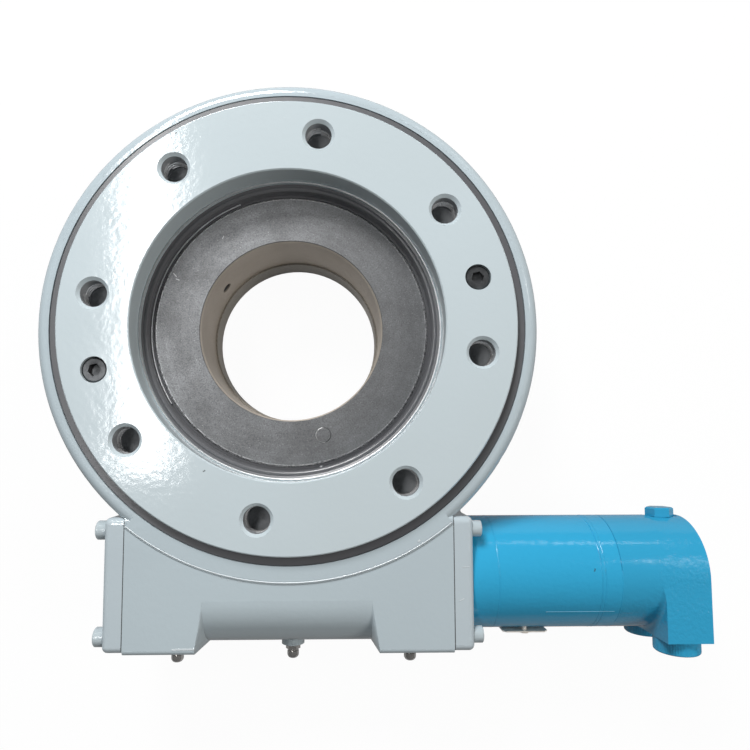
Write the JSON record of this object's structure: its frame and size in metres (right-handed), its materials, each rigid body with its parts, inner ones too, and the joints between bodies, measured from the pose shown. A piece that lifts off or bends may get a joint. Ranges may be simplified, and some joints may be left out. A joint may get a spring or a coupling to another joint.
{
  "type": "slewing drive",
  "caption": "Enclosed worm slewing drive: a flanged ring on a cast round housing, turned by a worm in a side box with a round hydraulic motor.",
  "frame": {"origin": "on the slewing axis in the plane of the lower mounting face", "axes": "+Z along the slewing axis, out of the rotating ring; +X along the worm towards the motor; the worm lies on the -Y side"},
  "size_m": [0.3508, 0.3123, 0.075],
  "materials": {
    "housing_paint": "gloss",
    "ring_paint": "gloss",
    "cover_paint": "gloss",
    "bare_ring_steel": "satin",
    "bearing_steel": "polished",
    "worm_steel": "satin",
    "seal_rubber": "matt",
    "black_screw_steel": "satin",
    "painted_screws": "gloss",
    "nipple_chrome": "polished",
    "motor_paint": "gloss",
    "plate_metal": "satin",
    "gasket_paper": "matt",
    "spacer_plastic": "matt"
  },
  "bodies": {
    "housing": {"housing": "housing_paint", "inner_ring": "bare_ring_steel", "inner_ring_screws": "black_screw_steel", "ball_filler_plug": "bare_ring_steel", "filler_plug_pin": "bare_ring_steel", "outer_seal": "seal_rubber", "end_cover": "cover_paint", "end_cover_gasket": "gasket_paper", "end_cover_screws": "painted_screws", "end_cover_washers": "painted_screws", "motor_plate": "cover_paint", "motor_plate_gasket": "gasket_paper", "motor_plate_screws": "painted_screws", "motor_plate_washers": "painted_screws", "worm_bearing_cups": "bearing_steel", "grease_nipple_left": "nipple_chrome", "grease_nipple_middle": "nipple_chrome", "grease_nipple_right": "nipple_chrome", "motor_front": "motor_paint", "motor_body": "motor_paint", "motor_spacer_plate": "motor_paint", "motor_gerotor_ring": "motor_paint", "motor_end_cover": "motor_paint", "motor_mount_screws": "black_screw_steel", "motor_end_screws": "black_screw_steel", "drain_plug": "motor_paint", "port_plugs": "motor_paint", "nameplate": "plate_metal", "nameplate_rivets": "plate_metal"},
    "rotating_ring": {"slew_ring": "ring_paint", "ring_screws": "black_screw_steel", "inner_seal": "seal_rubber"},
    "ball_row": {"ball_row": "bearing_steel", "ball_spacers": "spacer_plastic"},
    "worm": {"worm_shaft": "worm_steel", "worm_bearing_cones": "bearing_steel", "motor_shaft": "worm_steel", "motor_shaft_key": "worm_steel"},
    "worm_rollers": {"worm_bearing_rollers": "bearing_steel"}
  },
  "joints": [
    {"name": "slew", "type": "hinge", "parent": "housing", "child": "rotating_ring", "pos_m": [0, 0, 0.036], "axis": [0, 0, 1], "continuous": true},
    {"name": "worm_spin", "type": "hinge", "parent": "housing", "child": "worm", "pos_m": [0, -0.1335, 0.036], "axis": [1, 0, 0], "continuous": true},
    {"name": "ball_orbit", "type": "hinge", "parent": "housing", "child": "ball_row", "pos_m": [0, 0, 0.036], "axis": [0, 0, 1], "continuous": true},
    {"name": "roller_orbit", "type": "hinge", "parent": "housing", "child": "worm_rollers", "pos_m": [0, -0.1335, 0.036], "axis": [1, 0, 0], "continuous": true}
  ],
  "couplings": [
    {"joint": "worm_spin", "follows": "slew", "ratio": -73},
    {"joint": "ball_orbit", "follows": "slew", "ratio": 0.53},
    {"joint": "roller_orbit", "follows": "slew", "ratio": -30.66}
  ]
}
